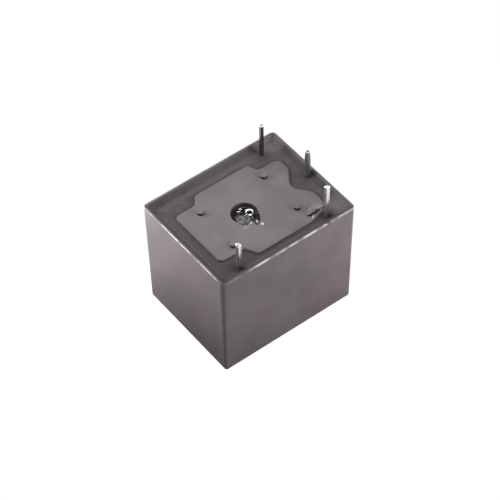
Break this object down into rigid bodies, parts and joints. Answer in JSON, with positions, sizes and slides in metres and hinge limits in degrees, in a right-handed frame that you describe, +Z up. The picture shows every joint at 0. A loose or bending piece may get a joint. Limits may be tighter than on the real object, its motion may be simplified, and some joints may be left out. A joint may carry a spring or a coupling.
{
  "type": "pcb power relay",
  "caption": "Miniature sealed power relay for a circuit board: drafted plastic cover, potted base with square pins, and a hinged armature inside.",
  "frame": {"origin": "middle of the closed end of the cover, which the part stands on", "axes": "+Z up towards the terminals, X along the long side with the coil pins at +X, Y across"},
  "size_m": [0.0192, 0.0154, 0.0202],
  "materials": {
    "case_plastic": "moulded dark warm grey, satin",
    "base_plastic": "moulded grey, matte",
    "resin": "cured potting resin, glossy where it is thick",
    "iron": "plated soft iron",
    "bobbin_plastic": "natural moulded nylon",
    "copper_wire": "enamelled copper wire",
    "tape": "polyester tape",
    "tinned_pin": "tinned copper alloy",
    "silver": "silver alloy contact",
    "rivet_brass": "plain brass",
    "spring_bronze": "rolled phosphor bronze"
  },
  "bodies": {
    "housing": {"cover": "case_plastic", "base": "base_plastic", "epoxy_seal": "resin", "core_seal": "resin", "core": "iron", "yoke": "iron", "bobbin": "bobbin_plastic", "coil_winding": "copper_wire", "coil_tape": "tape", "lead_a": "copper_wire", "lead_b": "copper_wire", "coil_pin_a": "tinned_pin", "coil_pin_b": "tinned_pin", "terminal_com": "tinned_pin", "terminal_no": "tinned_pin", "back_stop": "tinned_pin", "fixed_contact": "silver", "terminal_rivets": "rivet_brass", "spring_rivets": "rivet_brass"},
    "armature_unit": {"armature": "iron", "contact_spring": "spring_bronze", "moving_contact": "silver", "armature_rivets": "rivet_brass"}
  },
  "joints": [
    {"name": "armature_hinge", "type": "hinge", "parent": "housing", "child": "armature_unit", "pos_m": [0.0077, 0, 0.0041], "axis": [0, 1, 0], "range_deg": [0, 1.9], "stiffness_Nm_per_rad": 0.02, "springref_deg": -5.73, "deforming": ["contact_spring"]}
  ]
}
